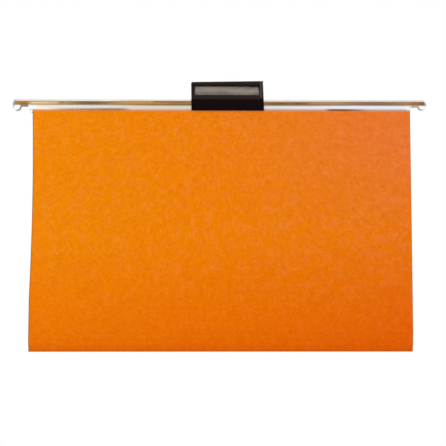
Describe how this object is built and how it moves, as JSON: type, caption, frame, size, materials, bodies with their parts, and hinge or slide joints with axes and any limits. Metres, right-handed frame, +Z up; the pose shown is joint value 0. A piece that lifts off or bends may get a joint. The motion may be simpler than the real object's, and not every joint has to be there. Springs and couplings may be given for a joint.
{
  "type": "hanging file folder",
  "caption": "Scored board folder on folded steel hanging bars with hook ends, with a sliding index tab and blank label; hangs on filing rails and opens at its creased base.",
  "frame": {"origin": "midway between the four rail seats, level with the top of the rails", "axes": "+X along the bars to the right seen from the front, +Y to the back, +Z up"},
  "size_m": [0.4096, 0.0119, 0.2667],
  "materials": {
    "folder_board": "matte",
    "bar_steel": "satin",
    "tab_plastic": "satin",
    "tab_window": "gloss",
    "label_paper": "matte"
  },
  "bodies": {
    "back": {"back_panel": "folder_board", "back_bar": "bar_steel"},
    "base_back_1": {"base_strip_back_1": "folder_board"},
    "base_back_2": {"base_strip_back_2": "folder_board"},
    "base_back_3": {"base_strip_back_3": "folder_board"},
    "base_front_3": {"base_strip_front_3": "folder_board"},
    "base_front_2": {"base_strip_front_2": "folder_board"},
    "base_front_1": {"base_strip_front_1": "folder_board"},
    "front": {"front_panel": "folder_board", "front_bar": "bar_steel"},
    "tab": {"tab_holder": "tab_plastic", "tab_window": "tab_window"},
    "label": {"tab_label": "label_paper"}
  },
  "joints": [
    {"name": "score_back_1", "type": "hinge", "parent": "back", "child": "base_back_1", "pos_m": [0, 0.00351, -0.2239], "axis": [1, 0, 0], "range_deg": [0, 6]},
    {"name": "score_back_2", "type": "hinge", "parent": "base_back_1", "child": "base_back_2", "pos_m": [0, 0.00285, -0.23027], "axis": [1, 0, 0], "range_deg": [0, 6]},
    {"name": "score_back_3", "type": "hinge", "parent": "base_back_2", "child": "base_back_3", "pos_m": [0, 0.00154, -0.23653], "axis": [1, 0, 0], "range_deg": [0, 6]},
    {"name": "bottom_fold", "type": "hinge", "parent": "base_back_3", "child": "base_front_3", "pos_m": [0, 0, -0.24129], "axis": [1, 0, 0], "range_deg": [0, 144.23]},
    {"name": "score_front_3", "type": "hinge", "parent": "base_front_3", "child": "base_front_2", "pos_m": [0, -0.00154, -0.23653], "axis": [1, 0, 0], "range_deg": [0, 6]},
    {"name": "score_front_2", "type": "hinge", "parent": "base_front_2", "child": "base_front_1", "pos_m": [0, -0.00285, -0.23027], "axis": [1, 0, 0], "range_deg": [0, 6]},
    {"name": "score_front_1", "type": "hinge", "parent": "base_front_1", "child": "front", "pos_m": [0, -0.00351, -0.2239], "axis": [1, 0, 0], "range_deg": [0, 6]},
    {"name": "tab_slide", "type": "slide", "parent": "front", "child": "tab", "axis": [1, 0, 0], "range_m": [-0.1565, 0.1425]},
    {"name": "label_slide", "type": "slide", "parent": "tab", "child": "label", "axis": [1, 0, 0], "range_m": [0, 0.069]}
  ]
}
